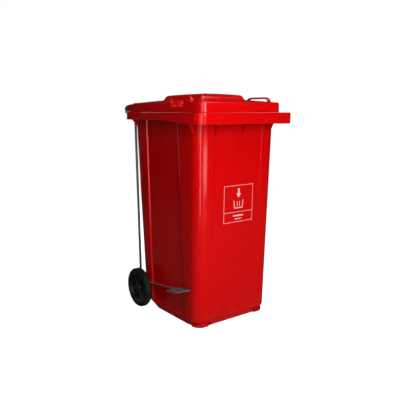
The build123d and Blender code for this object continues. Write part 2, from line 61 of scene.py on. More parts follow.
# %% Datum and driving sizes
MM = 0.001
WALL = 4.0
AXLE_Y, AXLE_Z = 167.0, 100.0
HINGE_Y, HINGE_Z = 305.0, 1009.0
RIM_TOP = 992.0
RIM_HALF, RIM_FRONT, RIM_BACK = 280.0, -370.0, 266.0
LID_HALF, LID_FRONT, LID_BACK = 240.0, -328.0, 260.0
LEVER_ARM = 82.0
LEVER_RISE = 14.0
LEAN = math.asin(LEVER_RISE / LEVER_ARM)

tub_low, tub_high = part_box("bin_body")
axle_low, axle_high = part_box("wheel_axle")
DATUM = np.array([(tub_low.x + tub_high.x) / 2 / MM, (axle_low.y + axle_high.y) / 2 / MM - AXLE_Y, 0.0])
print("datum in mm:", DATUM.round(2))

# %% [markdown]
# ## Shapes from rows of points
#
# Every moulded or turned piece here is a grid of points: rows follow the profile and columns go
# round the plan. Corners of a mould are never sharp, so one function rounds any profile, whether
# its stations are single points or whole rows. Bevelling finished meshes would do it too, but a
# rounded profile keeps the columns aligned with the ribs and panels and costs fewer faces.


# %% Rounding, arcs and stations
def soften(rows, reach, steps=4, closed=False):
    """Rounds each corner of a profile with a quadratic curve.

    The curve leaves the incoming run `reach` before the corner, joins the outgoing run the same
    distance after it, and is pulled by the corner: (1-t)^2 A + 2t(1-t) C + t^2 B. A station may be
    one point or a whole row of points, and then each point of the row is rounded by itself.
    """
    rows = np.asarray(rows, float)
    reach = np.broadcast_to(np.asarray(reach, float), (len(rows),))
    reach = reach.reshape((-1,) + (1,) * (rows.ndim - 1))

    def toward(other):
        gap = other - rows
        length = np.linalg.norm(gap, axis=-1, keepdims=True)
        return rows + gap * np.minimum(reach / np.maximum(length, 1e-9), 0.48)

    start = toward(np.roll(rows, 1, 0))
    end = toward(np.roll(rows, -1, 0))
    t = np.linspace(0.0, 1.0, steps).reshape((1, steps) + (1,) * (rows.ndim - 1))
    curve = (1 - t) ** 2 * start[:, None] + 2 * t * (1 - t) * rows[:, None] + t ** 2 * end[:, None]
    if not closed:
        curve[0] = rows[0]
        curve[-1] = rows[-1]
    return curve.reshape((-1,) + rows.shape[1:])


def stations(breaks, counts):
    """Straight runs between neighbouring breaks, each divided into its own count of steps."""
    runs = [np.linspace(a, b, n + 1)[1:] for a, b, n in zip(breaks[:-1], breaks[1:], counts)]
    return np.concatenate([[breaks[0]], *runs])


def arc(centre, radius, start, end, count):
    """Points on a circle: centre + radius (cos a, sin a), a from start to end in degrees."""
    a = np.radians(np.linspace(start, end, count))
    return np.column_stack([centre[0] + radius * np.cos(a), centre[1] + radius * np.sin(a)])


def smooth(t):
    """The S curve 3t^2 - 2t^3 between 0 and 1, flat at both ends."""
    t = np.clip(t, 0.0, 1.0)
    return t * t * (3 - 2 * t)


# %% Grids, lathe work and plates
def grid(points, wrap_rows=False, wrap_columns=True):
    """A shell from an array of rows x columns x 3: quads between neighbouring stations."""
    rows, columns = points.shape[:2]
    r = np.arange(rows if wrap_rows else rows - 1)[:, None]
    c = np.arange(columns if wrap_columns else columns - 1)[None, :]
    r2, c2 = (r + 1) % rows, (c + 1) % columns
    quads = np.stack([r * columns + c, r * columns + c2, r2 * columns + c2, r2 * columns + c], -1)
    return points.reshape(-1, 3), quads.reshape(-1, 4).tolist()


def lathe(profile, y, z, ring=False, around=72):
    """A profile of (x, radius) turned about the line through (y, z) along X.

    Each station becomes a circle: (x, y + r cos a, z + r sin a). A ring closes on itself, and any
    other profile starts and ends on the axis.
    """
    a = np.linspace(0.0, 2 * np.pi, around, endpoint=False)
    x, r = profile[:, :1], profile[:, 1:]
    points = np.stack([x + 0 * a, y + r * np.cos(a), z + r * np.sin(a)], -1)
    return grid(points, wrap_rows=ring)


def drawn_in(outline, distance):
    """The outline moved inward by a distance along the mean normal of its two runs."""
    ahead = np.roll(outline, -1, 0) - outline
    behind = outline - np.roll(outline, 1, 0)
    run = ahead / np.linalg.norm(ahead, axis=1, keepdims=True)
    run = run + behind / np.linalg.norm(behind, axis=1, keepdims=True)
    normal = np.column_stack([-run[:, 1], run[:, 0]])
    normal /= np.maximum(np.linalg.norm(normal, axis=1, keepdims=True), 1e-9)
    x, y = outline.T
    turning = np.sign(np.sum(x * np.roll(y, -1) - y * np.roll(x, -1)))
    return outline + normal * turning * distance


def edge_levels(low, high, edge):
    """Offsets and levels of a plate's rim: a quarter round, the straight rim, a quarter round."""
    a = np.radians([0.0, 30.0, 60.0, 90.0])
    inset = edge * (1 - np.sin(a))
    rise = edge * (1 - np.cos(a))
    return np.concatenate([inset, inset[::-1]]), np.concatenate([low + rise, high - rise[::-1]])


def lay(flat, level, plane):
    """Puts 2-D points at a level: 'yz' plates stand along X, 'xz' along Y, 'xy' along Z."""
    u, v = flat[..., 0], flat[..., 1]
    w = np.zeros_like(u) + level
    order = {"yz": (w, u, v), "xz": (u, w, v), "xy": (u, v, w)}[plane]
    return np.stack(order, -1)


def plate(outline, low, high, edge=1.2, plane="yz"):
    """A flat plate: the outline kept between two faces, its rims quarter rounds, faces closed."""
    insets, levels = edge_levels(low, high, edge)
    rows = np.stack([lay(drawn_in(outline, d), w, plane) for d, w in zip(insets, levels)])
    points, faces = grid(rows)
    n = len(outline)
    faces.append(list(range(n))[::-1])
    faces.append(list(range((len(rows) - 1) * n, len(rows) * n)))
    return points, faces


def holed_plate(outline, centre, radius, low, high, edge=1.2, plane="yz"):
    """A plate with a round hole: rows go hole, face, rim, face, hole, and close on themselves.

    The hole has one point for each point of the outline, at the same bearing from its centre.
    """
    bearing = np.arctan2(outline[:, 1] - centre[1], outline[:, 0] - centre[0])
    unit = np.column_stack([np.cos(bearing), np.sin(bearing)])
    insets, levels = edge_levels(low, high, edge)
    rows = [lay(drawn_in(outline, d), w, plane) for d, w in zip(insets, levels)]
    for ring, level in ((radius + 1.0, high), (radius, high - 1.0),
                        (radius, low + 1.0), (radius + 1.0, low)):
        rows.append(lay(np.asarray(centre) + unit * ring, level, plane))
    return grid(np.stack(rows), wrap_rows=True)


def resampled(outline, count):
    """The closed outline with its points spread evenly by length."""
    loop = np.vstack([outline, outline[:1]])
    length = np.concatenate([[0.0], np.cumsum(np.linalg.norm(np.diff(loop, axis=0), axis=1))])
    s = np.linspace(0.0, length[-1], count, endpoint=False)
    return np.column_stack([np.interp(s, length, loop[:, k]) for k in (0, 1)])


def mirrored(shell):
    """The same shell on the other side of the middle plane."""
    return shell[0] * [-1.0, 1.0, 1.0], shell[1]


def turned(shell, angle):
    """The shell turned about the wheel axle by an angle in radians, from +Y toward +Z."""
    y, z = shell[0][:, 1] - AXLE_Y, shell[0][:, 2] - AXLE_Z
    c, s = math.cos(angle), math.sin(angle)
    points = np.column_stack([shell[0][:, 0], AXLE_Y + y * c - z * s, AXLE_Z + y * s + z * c])
    return points, shell[1]


# %% [markdown]
# ## From shells to a finished piece
#
# A piece is one or more closed shells. Merging the doubled points closes seams and poles, and only
# then are the normals worked out, so every face looks outward. A point attribute called `edge`
# measures how sharply the faces round a point disagree: wear and dust follow it in the materials.


# %% Make a piece
def edge_attribute(mesh):
    """edge = 1 - |mean of the unit normals of the faces at a point|, stretched to 0..1."""
    loops = np.zeros(len(mesh.loops), np.int32)
    mesh.loops.foreach_get("vertex_index", loops)
    normals = np.zeros(len(mesh.polygons) * 3, np.float32)
    mesh.polygons.foreach_get("normal", normals)
    totals = np.zeros(len(mesh.polygons), np.int32)
    mesh.polygons.foreach_get("loop_total", totals)
    per_loop = np.repeat(normals.reshape(-1, 3), totals, axis=0)
    summed = np.zeros((len(mesh.vertices), 3))
    np.add.at(summed, loops, per_loop)
    count = np.bincount(loops, minlength=len(mesh.vertices))
    mean = np.linalg.norm(summed, axis=1) / np.maximum(count, 1)
    edge = mesh.attributes.new("edge", "FLOAT", "POINT")
    edge.data.foreach_set("value", np.clip((1 - mean) * 9.0, 0.0, 1.0).astype(np.float32))


def make_piece(name, shells, body, material, replaces=(), crease=42.0):
    """Joins closed shells drawn in mm into one object that rides on a body."""
    shells = list(shells)
    starts = np.cumsum([0] + [len(s[0]) for s in shells])
    points = (np.vstack([s[0] for s in shells]) + DATUM) * MM
    faces = [[i + start for i in face] for s, start in zip(shells, starts) for face in s[1]]
    mesh = bpy.data.meshes.new(name)
    mesh.from_pydata(points.tolist(), [], faces)
    work = bmesh.new()
    work.from_mesh(mesh)
    bmesh.ops.remove_doubles(work, verts=work.verts, dist=2e-6)
    bmesh.ops.dissolve_degenerate(work, edges=work.edges, dist=1e-6)
    bmesh.ops.recalc_face_normals(work, faces=work.faces)
    work.to_mesh(mesh)
    work.free()
    mesh.shade_smooth()
    mesh.set_sharp_from_angle(angle=math.radians(crease))
    edge_attribute(mesh)
    mesh.materials.append(material)
    made = bpy.data.objects.new(name, mesh)
    bpy.context.scene.collection.objects.link(made)
    weighted = made.modifiers.new("even shading", "WEIGHTED_NORMAL")
    weighted.keep_sharp = True
    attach(made, body)
    if replaces:
        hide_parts(*replaces)
    print(f"{name}: {len(mesh.polygons)} faces")
    return made


# %% [markdown]
# ## Shared finishes
#
# The effects that several materials share are node groups: the fine grain of a mould, scuffs
# from handling, dust that settles low down near the floor, and rubbed edges. Each puts out a mask
# or a height, and each material decides what colour or roughness it stands for.


# %% A small node kit
def new_group(name, inputs, outputs):
    """An empty shader node group with float inputs (name, default) and float outputs."""
    made = bpy.data.node_groups.new(name, "ShaderNodeTree")
    for label, default in inputs:
        socket = made.interface.new_socket(name=label, in_out="INPUT", socket_type="NodeSocketFloat")
        socket.default_value = default
    for label in outputs:
        made.interface.new_socket(name=label, in_out="OUTPUT", socket_type="NodeSocketFloat")
    return made, made.nodes.new("NodeGroupInput"), made.nodes.new("NodeGroupOutput")


def node(tree, kind, links=(), **settings):
    """Adds a node, sets its properties, and fills its inputs from (input, value or socket) pairs."""
    made = tree.nodes.new(kind)
    for key, value in settings.items():
        setattr(made, key, value)
    for target, value in links:
        if isinstance(value, bpy.types.NodeSocket):
            tree.links.new(value, made.inputs[target])
        else:
            made.inputs[target].default_value = value
    return made


def maths(tree, operation, a, b=0.0, clamp=False):
    """One Math node, as its output socket."""
    return node(tree, "ShaderNodeMath", [(0, a), (1, b)], operation=operation, use_clamp=clamp).outputs[0]


def spread(tree, value, low, high, to_low=0.0, to_high=1.0):
    """Map Range: value from low..high to to_low..to_high, clamped."""
    links = [("Value", value), ("From Min", low), ("From Max", high),
             ("To Min", to_low), ("To Max", to_high)]
    return node(tree, "ShaderNodeMapRange", links, interpolation_type="SMOOTHSTEP").outputs[0]


def noise(tree, scale, detail=2.0, stretch=(1.0, 1.0, 1.0)):
    """Noise on Object coordinates, stretched along the axes."""
    place = node(tree, "ShaderNodeTexCoord").outputs["Object"]
    mapped = node(tree, "ShaderNodeMapping", [("Vector", place), ("Scale", stretch)]).outputs[0]
    return node(tree, "ShaderNodeTexNoise",
                [("Vector", mapped), ("Scale", scale), ("Detail", detail)]).outputs[0]


# %% Mould grain: fine pebbles on broad, slow ripples
grain_group, g_in, g_out = new_group("mould grain", [("Pebble", 900.0), ("Ripple", 7.0)],
                                     ["Height", "Patches"])
pebbles = noise(grain_group, g_in.outputs["Pebble"], 1.0)
ripples = noise(grain_group, g_in.outputs["Ripple"], 3.0)
fine = maths(grain_group, "MULTIPLY", pebbles, 0.16)
grain_group.links.new(maths(grain_group, "ADD", ripples, fine), g_out.inputs["Height"])
grain_group.links.new(spread(grain_group, ripples, 0.3, 0.7), g_out.inputs["Patches"])

# %% Handling scuffs: short thin strokes in two directions, gathered in patches
scuff_group, s_in, s_out = new_group("handling scuffs", [("Amount", 0.5)], ["Mask"])
strokes = noise(scuff_group, 60.0, 4.0, (1.0, 1.0, 9.0))
across = noise(scuff_group, 45.0, 4.0, (7.0, 7.0, 1.0))
thin = maths(scuff_group, "MAXIMUM",
             spread(scuff_group, strokes, 0.63, 0.72), spread(scuff_group, across, 0.64, 0.73))
where = spread(scuff_group, noise(scuff_group, 5.0), 0.45, 0.65)
worn = maths(scuff_group, "MULTIPLY", thin, where)
scuff_group.links.new(maths(scuff_group, "MULTIPLY", worn, s_in.outputs["Amount"]), s_out.inputs["Mask"])

# %% Settled dust: thickest near the floor, in speckled patches
dust_group, d_in, d_out = new_group("settled dust", [("Height", 0.12), ("Amount", 0.5)], ["Mask"])
place = node(dust_group, "ShaderNodeTexCoord").outputs["Object"]
height = node(dust_group, "ShaderNodeSeparateXYZ", [(0, place)]).outputs["Z"]
low = maths(dust_group, "SUBTRACT", 1.0,
            maths(dust_group, "DIVIDE", height, d_in.outputs["Height"]), clamp=True)
speckle = spread(dust_group, noise(dust_group, 26.0, 5.0), 0.35, 0.7)
thick = maths(dust_group, "MULTIPLY", low, speckle)
dust_group.links.new(maths(dust_group, "MULTIPLY", thick, d_in.outputs["Amount"]), d_out.inputs["Mask"])

# %% Rubbed edges: the edge attribute broken up by noise
rub_group, r_in, r_out = new_group("rubbed edges", [("Edge", 0.0), ("Amount", 0.5)], ["Mask"])
broken = spread(rub_group, noise(rub_group, 38.0, 4.0), 0.42, 0.62)
rubbed = maths(rub_group, "MULTIPLY", r_in.outputs["Edge"], broken)
rub_group.links.new(maths(rub_group, "MULTIPLY", rubbed, r_in.outputs["Amount"]), r_out.inputs["Mask"])
print("finish groups:", [g.name for g in bpy.data.node_groups])


# %% Put the finishes to work in a material
def use(tree, group, links=()):
    """Places a finish group in a material's tree."""
    return node(tree, "ShaderNodeGroup", links, node_tree=group)


def tinted(tree, base, other, mask):
    """Mixes two colours by a mask."""
    mixed = node(tree, "ShaderNodeMix", data_type="RGBA")
    for socket, value in (("A", base), ("B", other)):
        target = [s for s in mixed.inputs if s.name == socket and s.type == "RGBA"][0]
        if isinstance(value, bpy.types.NodeSocket):
            tree.links.new(value, target)
        else:
            target.default_value = (*value, 1.0)
    tree.links.new(mask, mixed.inputs[0])
    return [s for s in mixed.outputs if s.type == "RGBA"][0]


def new_material(name, metallic=0.0, specular=0.5, ior=1.5):
    """A material with a Principled shader whose constant values sit on its own sockets."""
    made = bpy.data.materials.new(name)
    made.use_nodes = True
    shader = made.node_tree.nodes["Principled BSDF"]
    shader.inputs["Metallic"].default_value = metallic
    shader.inputs["Specular IOR Level"].default_value = specular
    shader.inputs["IOR"].default_value = ior
    return made, made.node_tree, shader


def relief(tree, shader, height, strength, distance):
    """A Bump node into the shader's Normal."""
    bump = node(tree, "ShaderNodeBump", [("Height", height), ("Strength", strength), ("Distance", distance)])
    tree.links.new(bump.outputs[0], shader.inputs["Normal"])


# %% [markdown]
# ### Moulded plastics
#
# The tub and lid are dyed polyethylene: colour goes right through, so a scuff is only a paler,
# duller streak of the same red. The gloss comes from the mould, and it wavers a little where the
# wall cooled unevenly. The black fittings are the same plastic with soot, and show dust more.


# %% Moulded plastic, for any colour
def moulded_plastic(name, colour, worn_colour, gloss, pebble,
                    dust=0.4, scuffs=0.5, worn_edge=True, specular=0.5):
    """Dyed plastic: patchy gloss, faint colour change, scuffs, rubbed edges and floor dust."""
    made, tree, shader = new_material(name, specular=specular)
    grain = use(tree, grain_group, [("Pebble", pebble)])
    scuff = use(tree, scuff_group, [("Amount", scuffs)]).outputs["Mask"]
    dusty = use(tree, dust_group, [("Amount", dust)]).outputs["Mask"]
    deep = tuple(c * 0.96 for c in colour)
    base = tinted(tree, deep, colour, grain.outputs["Patches"])
    marks = scuff
    if worn_edge:
        edge = node(tree, "ShaderNodeAttribute", attribute_name="edge").outputs["Fac"]
        rub = use(tree, rub_group, [("Edge", edge), ("Amount", 0.25)]).outputs["Mask"]
        marks = maths(tree, "MAXIMUM", scuff, rub)
    base = tinted(tree, base, worn_colour, maths(tree, "MULTIPLY", marks, 0.4))
    base = tinted(tree, base, (0.30, 0.22, 0.18), dusty)
    tree.links.new(base, shader.inputs["Base Color"])
    rough = spread(tree, grain.outputs["Patches"], 0.0, 1.0, gloss, gloss + 0.07)
    rough = maths(tree, "ADD", rough, maths(tree, "MULTIPLY", marks, 0.25))
    rough = maths(tree, "ADD", rough, maths(tree, "MULTIPLY", dusty, 0.5), clamp=True)
    tree.links.new(rough, shader.inputs["Roughness"])
    relief(tree, shader, grain.outputs["Height"], 0.2, 0.0008)
    return made


RED = (0.66, 0.0015, 0.002)
PALE_RED = (0.72, 0.03, 0.03)
BLACK = (0.005, 0.005, 0.0055)
GREY_BLACK = (0.03, 0.03, 0.03)
tub_red = moulded_plastic("tub red", RED, PALE_RED, 0.13, 900.0, dust=0.05, scuffs=0.15, specular=0.3)
lid_red = moulded_plastic("lid red", RED, PALE_RED, 0.10, 1100.0, dust=0.0, scuffs=0.15, specular=0.35)
hub_black = moulded_plastic("hub black", BLACK, GREY_BLACK, 0.38, 1300.0, dust=0.25)
fitting_black = moulded_plastic("fitting black", BLACK, GREY_BLACK, 0.34, 1500.0, dust=0.1)
print("plastics:", tub_red.name, lid_red.name, hub_black.name, fitting_black.name)

# %% [markdown]
# ### Tyre rubber, zinc and worn coating
#
# Solid rubber is dull and grey with floor dust. Zinc plate shows faint crystals and is scratched
# bright along its length. The pedal plate is coated dark grey, and feet polish its dimples first.

# %% Tyre rubber
tyre_rubber, tree, shader = new_material("tyre rubber", specular=0.3)
rubber_grain = use(tree, grain_group, [("Pebble", 700.0), ("Ripple", 30.0)])
rubber_dust = use(tree, dust_group, [("Height", 0.2), ("Amount", 0.15)]).outputs["Mask"]
rubber = tinted(tree, (0.005, 0.005, 0.005), (0.009, 0.009, 0.009), rubber_grain.outputs["Patches"])
rubber = tinted(tree, rubber, (0.12, 0.11, 0.10), rubber_dust)
tree.links.new(rubber, shader.inputs["Base Color"])
tree.links.new(spread(tree, rubber_grain.outputs["Patches"], 0.0, 1.0, 0.55, 0.8),
               shader.inputs["Roughness"])
relief(tree, shader, rubber_grain.outputs["Height"], 0.4, 0.0008)


# %% Zinc, drawn steel and bright band
def plated_steel(name, dark, light, gloss, crystal, along):
    """Metal: a Voronoi cell tone for the zinc crystals, and streaks drawn out along one axis."""
    made, tree, shader = new_material(name, metallic=1.0)
    place = node(tree, "ShaderNodeTexCoord").outputs["Object"]
    cells = node(tree, "ShaderNodeTexVoronoi", [("Vector", place), ("Scale", crystal)])
    tone = node(tree, "ShaderNodeSeparateColor", [(0, cells.outputs["Color"])]).outputs[0]
    streak = noise(tree, 180.0, 3.0, along)
    mix = maths(tree, "ADD", maths(tree, "MULTIPLY", tone, 0.5), maths(tree, "MULTIPLY", streak, 0.5))
    tree.links.new(tinted(tree, dark, light, mix), shader.inputs["Base Color"])
    tree.links.new(spread(tree, mix, 0.1, 0.9, gloss + 0.14, gloss), shader.inputs["Roughness"])
    relief(tree, shader, streak, 0.2, 0.0004)
    return made


zinc_rod = plated_steel("galvanised rod",
                        (0.15, 0.16, 0.165), (0.33, 0.345, 0.35), 0.32, 260.0, (9.0, 9.0, 0.6))
zinc_arm = plated_steel("galvanised arm",
                        (0.09, 0.09, 0.08), (0.23, 0.23, 0.21), 0.34, 320.0, (9.0, 0.6, 9.0))
axle_steel = plated_steel("drawn axle", (0.30, 0.30, 0.30), (0.55, 0.55, 0.54), 0.28, 90.0, (0.4, 9.0, 9.0))
bright_band = plated_steel("bright band",
                           (0.60, 0.61, 0.62), (0.85, 0.86, 0.87), 0.20, 420.0, (1.0, 9.0, 1.0))

# %% Worn coating of the pedal plate
plate_coat, tree, shader = new_material("worn pedal coating", specular=0.4)
coat_grain = use(tree, grain_group, [("Pebble", 1600.0), ("Ripple", 25.0)])
wear = node(tree, "ShaderNodeAttribute", attribute_name="trodden").outputs["Fac"]
broken_wear = maths(tree, "MULTIPLY", wear, spread(tree, noise(tree, 240.0, 4.0), 0.25, 0.6, 0.45, 1.0))
coat = tinted(tree, (0.052, 0.060, 0.060), (0.085, 0.097, 0.097), coat_grain.outputs["Patches"])
coat = tinted(tree, coat, (0.40, 0.43, 0.42), broken_wear)
tree.links.new(coat, shader.inputs["Base Color"])
tree.links.new(maths(tree, "MULTIPLY", broken_wear, 0.6), shader.inputs["Metallic"])
tree.links.new(spread(tree, broken_wear, 0.0, 1.0, 0.52, 0.33), shader.inputs["Roughness"])
relief(tree, shader, coat_grain.outputs["Height"], 0.3, 0.0006)

# %% Printed film of the front mark
film_white, tree, shader = new_material("printed film", specular=0.4)
film_wear = spread(tree, noise(tree, 400.0, 3.0), 0.60, 0.75)
tree.links.new(tinted(tree, (0.82, 0.52, 0.52), (0.66, 0.10, 0.10), film_wear), shader.inputs["Base Color"])
tree.links.new(spread(tree, noise(tree, 90.0), 0.3, 0.7, 0.35, 0.5), shader.inputs["Roughness"])
relief(tree, shader, film_wear, 0.2, 0.0002)
print("materials:", len(bpy.data.materials))

# %% [markdown]
# ## The tub
#
# The tub is one injection moulding: underside, skirt, walls with sunk fields, hung rim and inner
# walls. A row of points goes once round the plan at a given height, and the rows follow the wall
# from under the floor, up the outside, over the rim and down the inside to the floor. The side
# columns lie along the edges of the sunk fields, so a few rows draw straight, crisp steps.

# %% Wall lines
SKIRT_FOOT, SKIRT_CORNER, FLOOR_Z = 4.0, 80.0, 25.0
FIELD_FOOT, FIELD_HEAD = 33.0, 1010.0
SIDE_DEPTH, FRONT_DEPTH = 8.5, 2.5
BASE_INSET, BASE_TOP, SKIRT_WALL = 7.0, 20.0, 6.0
STEP_Y, LEDGE_Z, LEDGE_DROP = 134.5, 150.0, 18.0
HEEL_Y, HEEL_HIGH = 76.0, 28.0


def half_width(z):
    return 220.5 + 0.012 * z


def front_line(z):
    return -267.0 - 0.032 * z


def back_line(z):
    return 196.0 + 0.062 * z


def heel_line(z, inset=0.0):
    """Back of the base: a sloped heel up to the upright wall under the axle ledge."""
    slope = (STEP_Y - HEEL_Y) / (HEEL_HIGH - SKIRT_FOOT)
    heel = HEEL_Y - inset * np.hypot(1.0, slope) + slope * np.maximum(np.asarray(z) - SKIRT_FOOT, 0.0)
    return np.minimum(heel, STEP_Y - inset)


def run_between(anchors, counts):
    """Stations between neighbouring anchor columns (rows x anchors), each run evenly divided."""
    out = [anchors[:, :1]]
    for k, n in enumerate(counts):
        t = np.arange(1, n + 1) / n
        out.append(anchors[:, k:k + 1] * (1 - t) + anchors[:, k + 1:k + 2] * t)
    return np.concatenate(out, 1)


SIDE_COUNTS, SIDE_DEPTHS = (5, 6, 12, 6, 5), (0, 0, 1, 1, 0, 0)
FRONT_COUNTS, FRONT_DEPTHS = (4, 4, 14, 4, 4), (0, 0, 1, 1, 0, 0)
SIDE_SHAPE = smooth(run_between(np.array([SIDE_DEPTHS], float), SIDE_COUNTS)[0])
FRONT_SHAPE = smooth(run_between(np.array([FRONT_DEPTHS], float), FRONT_COUNTS)[0])
SIDE_RUN, STRIPE_RUN, FRONT_RUN = 13.0, 6.0, 14.0
CORNER_STEPS = 9


def tub_rows(half, front, back, r_front, r_back, z, sunk):
    """Level rows round the tub, one for each entry of the arrays given.

    A row is a rounded rectangle: straight runs joined by quarter circles. Where sunk is 1 the
    side fields are pressed in by their depth, with an S curve across each step, and the front
    field deepens steadily with height.
    """
    half, front, back, r_front, r_back, z, sunk = [
        np.array(v, float).reshape(-1, 1) for v in np.broadcast_arrays(half, front, back, r_front, r_back, z, sunk)]
    rise = np.clip((z - FIELD_FOOT) / (FIELD_HEAD - FIELD_FOOT), 0, 1)
    a, b = front + r_front, back - r_back
    floor_front, floor_back = -165.0 + 42.0 * rise, 110.0 + 20.0 * rise
    side = np.concatenate([a, floor_front - SIDE_RUN, floor_front, floor_back, floor_back + STRIPE_RUN, b], 1)
    side = np.minimum(side, b - 0.5 * np.arange(5, -1, -1))
    side = run_between(side, SIDE_COUNTS)
    mouth = 130.0 + 6.0 * rise
    c, d = half - r_front, half - r_back
    across = np.concatenate([-c, -mouth - FRONT_RUN, -mouth, mouth, mouth + FRONT_RUN, c], 1)
    across = run_between(across, FRONT_COUNTS)
    rear = np.linspace(1, -1, 15)[None, :] * d
    angle = np.radians(np.linspace(0, 90, CORNER_STEPS + 2)[1:-1])[None, :]
    x_side = half - SIDE_DEPTH * SIDE_SHAPE * smooth((z - FIELD_FOOT) / 14.0) * sunk
    y_front = front + FRONT_DEPTH * FRONT_SHAPE * rise * sunk
    one = np.ones_like(angle)
    loops = [
        (across, y_front),
        (c + r_front * np.sin(angle), front + r_front * (1 - np.cos(angle))),
        (x_side, side),
        (d + r_back * np.cos(angle), b + r_back * np.sin(angle)),
        (rear, back * np.ones_like(rear)),
        (-d - r_back * np.sin(angle), b + r_back * np.cos(angle)),
        (-x_side[:, ::-1], side[:, ::-1]),
        (-c - r_front * np.cos(angle), front * one + r_front * (1 - np.sin(angle))),
    ]
    x = np.concatenate([p[0] for p in loops], 1)
    y = np.concatenate([p[1] for p in loops], 1)
    return np.stack([x, y, z + 0 * x], -1)


# %% Rows from the underside to the rim and down to the floor
def wall_rows(z, inset, back=None, r_back=44.0):
    """Rows on the tub wall at heights z, drawn in by inset; back replaces the back wall line."""
    z = np.atleast_1d(np.asarray(z, float))
    rear = back_line(z) - inset if back is None else back
    return tub_rows(half_width(z) - inset, front_line(z) + inset, rear, 52.0 - inset, r_back - inset, z, 1.0)


def ledge_pair(inset):
    """The two rows of the axle ledge, level at the back and a little apart along the sides."""
    top = LEDGE_Z + inset
    lower = wall_rows(top, inset, back=STEP_Y + LEDGE_DROP - inset, r_back=6.0 + inset)
    upper = wall_rows(top, inset)
    for row, way in ((lower, -1.0), (upper, 1.0)):
        row[..., 2] += way * 3.0 * np.clip((110.0 - row[..., 1]) / 60.0, 0.0, 1.0)
    return lower, upper


def hung_edge(row):
    """The rim's hanging skirt is deepest at the front and rises along the sides."""
    depth = np.interp(row[..., 1], [-298.0, -250.0, -90.0, -60.0], [941.0, 943.5, 956.0, 957.0])
    row[..., 2] = depth
    return row


def rim_row(inset, z):
    return tub_rows(RIM_HALF - inset, RIM_FRONT + inset, RIM_BACK - inset,
                    48.0 - inset, 38.0 - inset, z, 0.0)


def base_row(inset, z, back, r_front):
    """The skirt and floor under the walls, drawn in from them at the front and sides."""
    return tub_rows(h0 - inset, f0 + inset, back, r_front, 6.0, z, 0.0)


h0, f0 = half_width(0), front_line(0)
skirt_in = BASE_INSET + SKIRT_WALL
foot_levels = np.array([36.0, 39.0, 42.0, 45.0, 48.0, 90.0])
wall_levels = np.linspace(LEDGE_Z + 12.0, 960.0, 9)
lower, upper = ledge_pair(0.0)
stacked = [
    (base_row(skirt_in, BASE_TOP, HEEL_Y + 27.0, SKIRT_CORNER - SKIRT_WALL), 2.0),
    (base_row(skirt_in, SKIRT_FOOT, HEEL_Y - 12.0, SKIRT_CORNER - SKIRT_WALL), 2.0),
    (base_row(BASE_INSET, SKIRT_FOOT, HEEL_Y, SKIRT_CORNER), 2.0),
    (base_row(BASE_INSET, BASE_TOP - 1.5, heel_line(BASE_TOP - 1.5), SKIRT_CORNER), 0.7),
    (base_row(BASE_INSET, BASE_TOP, heel_line(BASE_TOP), 52.0 - BASE_INSET), 0.7),
    (wall_rows(FIELD_FOOT, 0.0, heel_line(FIELD_FOOT), 6.0), 9.0),
    (wall_rows(foot_levels, 0.0, heel_line(foot_levels), 6.0), 0.5),
    (wall_rows(LEDGE_Z - LEDGE_DROP, 0.0, STEP_Y, 6.0), 3.0),
    (lower, 2.5),
    (upper, 2.5),
    (wall_rows(wall_levels, 0.0), 0.5),
    (wall_rows(RIM_TOP - WALL, 0.0), 3.0),
    (rim_row(WALL, RIM_TOP - WALL), 3.0),
    (hung_edge(rim_row(WALL, 0.0)), 1.9),
    (hung_edge(rim_row(0.0, 0.0)), 1.9),
    (rim_row(0.0, RIM_TOP), 5.0),
    (wall_rows(RIM_TOP, WALL), 2.5),
]
lower, upper = ledge_pair(WALL)
stacked += [
    (wall_rows(wall_levels[::-1], WALL), 0.5),
    (upper, 3.0),
    (lower, 3.0),
    (wall_rows(LEDGE_Z - LEDGE_DROP + 2.0, WALL, STEP_Y - WALL, 10.0), 3.0),
    (wall_rows(foot_levels[::-1], WALL, heel_line(foot_levels[::-1], WALL), 10.0), 0.5),
    (base_row(WALL + 6.0, FLOOR_Z, heel_line(FLOOR_Z, WALL), 42.0), 6.0),
]
rows = np.concatenate([s[0] for s in stacked])
reach = np.concatenate([np.full(len(s[0]), s[1]) for s in stacked])


def closed_at_pole(rows, reach, low, high):
    """Adds a pole below the first row and above the last, on the plan's middle."""
    def pole(z):
        return np.broadcast_to(np.array([0.0, -60.0, z]), rows[:1].shape)
    return np.concatenate([pole(low), rows, pole(high)]), np.concatenate([[0.0], reach, [0.0]])


rows, reach = closed_at_pole(rows, reach, BASE_TOP, FLOOR_Z)
tub_wall = grid(soften(rows, reach))
print("tub rows:", len(rows), "columns:", rows.shape[1])

# %% [markdown]
# ### What is moulded onto the tub
#
# Under the rim stand thin gussets; at the back two bars to pull the bin by, with ears that carry
# the hinge; under the ledge the axle brackets; at the front two feet. Each is a plate drawn as an
# outline with rounded corners and given a rounded rim, which is how a mould leaves them.

# %% Gussets
RIB = 5.0


def corners(points, reach=3.0):
    """An outline through corner points, each rounded."""
    return soften(np.array(points, float), reach, steps=4, closed=True)


